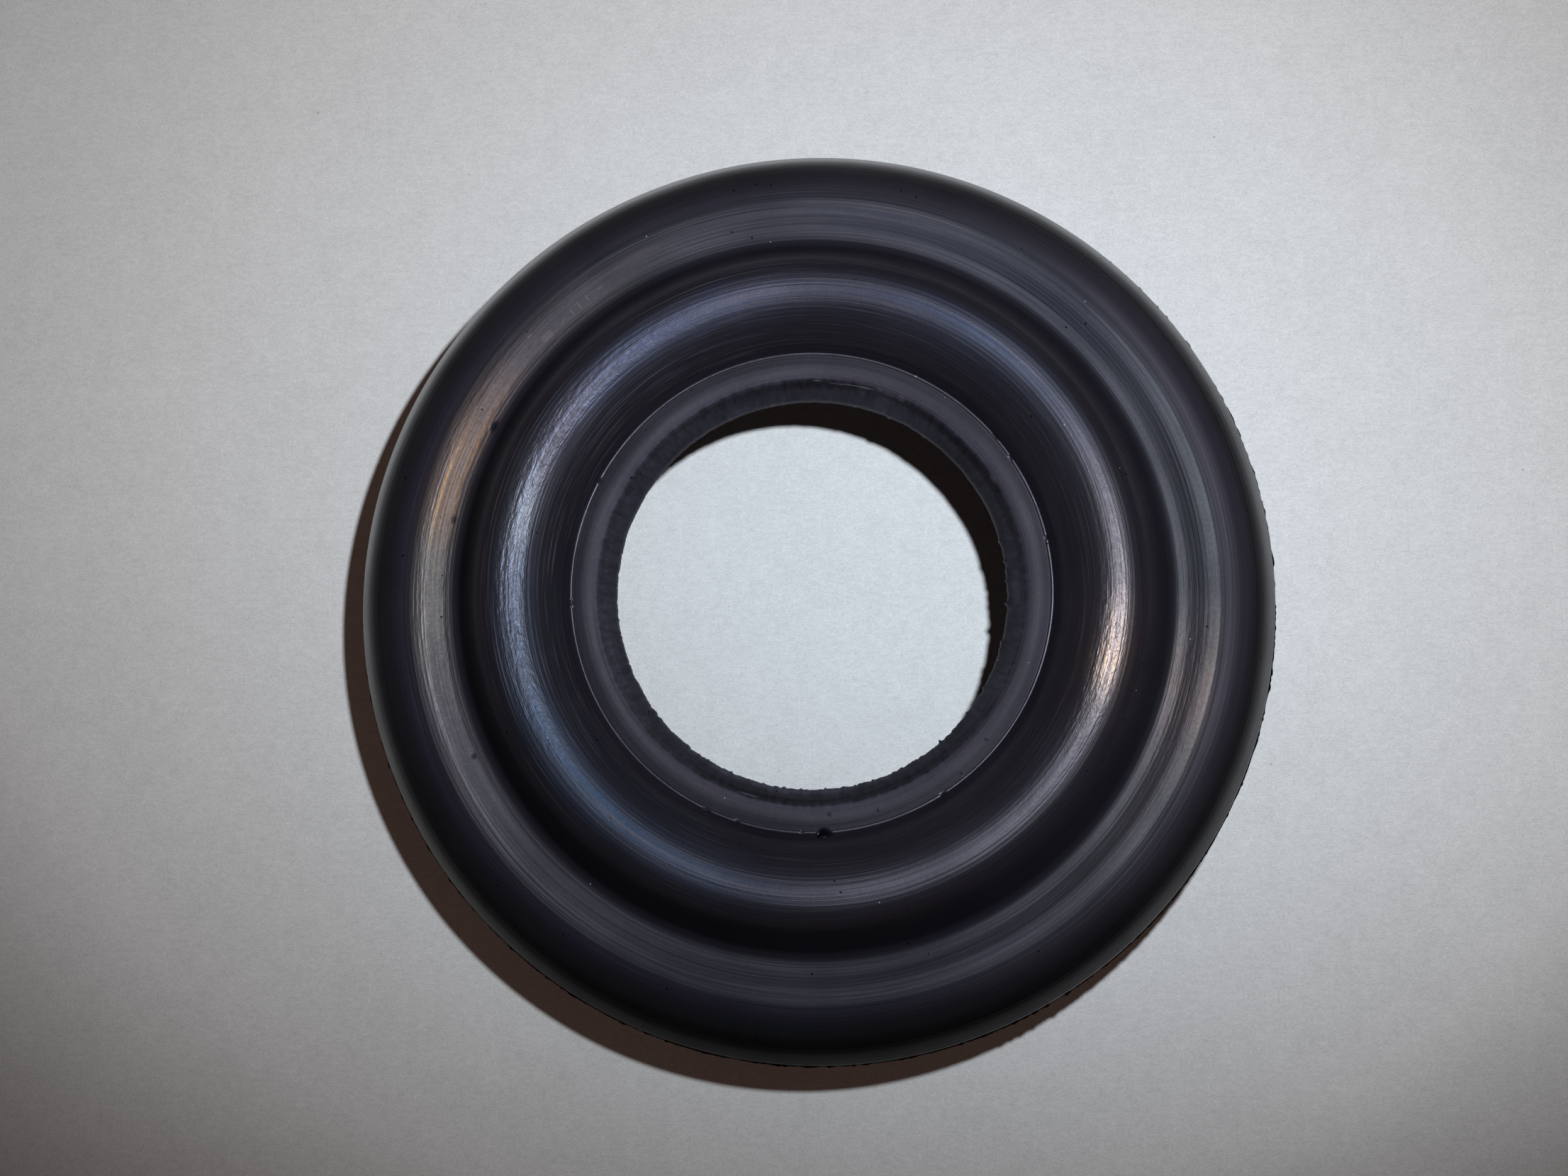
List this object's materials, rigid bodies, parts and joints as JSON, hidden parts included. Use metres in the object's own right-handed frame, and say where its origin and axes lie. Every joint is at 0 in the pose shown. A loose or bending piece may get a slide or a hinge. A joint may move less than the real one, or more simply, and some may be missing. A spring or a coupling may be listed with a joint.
{
  "type": "rubber grommet",
  "caption": "Moulded rubber grommet: a hollow ring with a domed, stepped top, a flexible lip that seals round a pipe or hose, and a flat foot that rests on the panel.",
  "frame": {"origin": "centre of the flat foot, on the ring's axis, at the level the foot stands on", "axes": "+Z along the bore's axis, from the foot towards the crest; the section is turned round Z, so X and Y are any two directions across it"},
  "size_m": [0.108, 0.108, 0.0288],
  "materials": {
    "rubber": "satin, with fine turning marks from the mould and a faint bloom"
  },
  "bodies": {
    "root": {"grommet": "rubber"}
  },
  "joints": []
}
